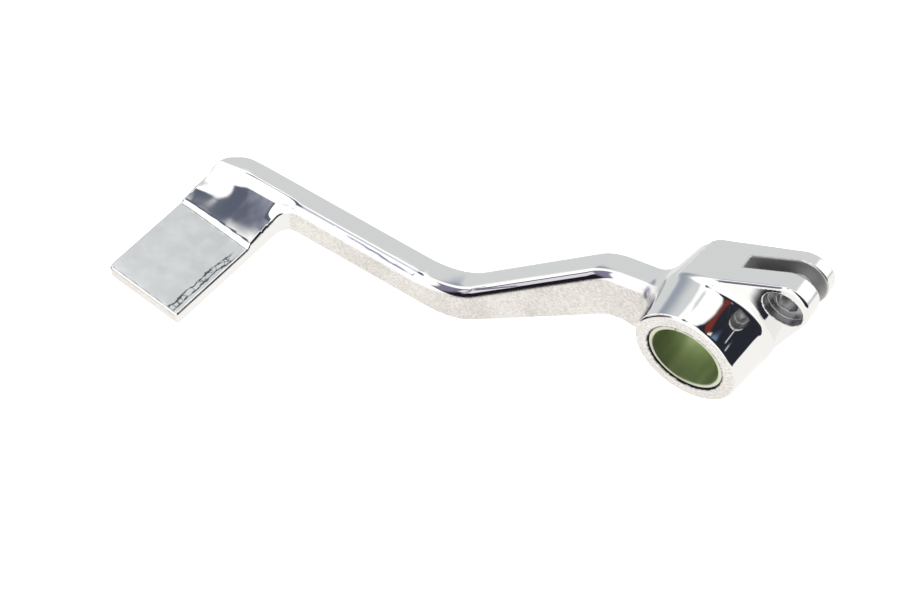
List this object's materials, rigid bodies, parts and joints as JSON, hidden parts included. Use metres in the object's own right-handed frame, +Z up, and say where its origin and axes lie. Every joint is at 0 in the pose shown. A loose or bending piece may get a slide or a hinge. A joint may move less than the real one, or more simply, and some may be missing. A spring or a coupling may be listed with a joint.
{
  "type": "motorcycle brake pedal",
  "caption": "Polished forged foot lever: flat foot plate on a cranked arm, a bushed pivot hub and a slotted clevis with a counterbored cross hole for the brake rod.",
  "frame": {"origin": "on the pivot axis, at the middle of the hub's length", "axes": "+X from the foot plate towards the hub, +Y along the pivot axis inboard to the motorcycle's frame, +Z up, square to the level foot plate"},
  "size_m": [0.2223, 0.0742, 0.1017],
  "materials": {
    "polished_aluminium": "polished, with brushed outboard faces and a satin foot plate",
    "lined_bush": "steel shell with a green sliding lining"
  },
  "bodies": {
    "root": {"pedal_lever": "polished_aluminium", "outboard_bush": "lined_bush", "inboard_bush": "lined_bush"}
  },
  "joints": []
}
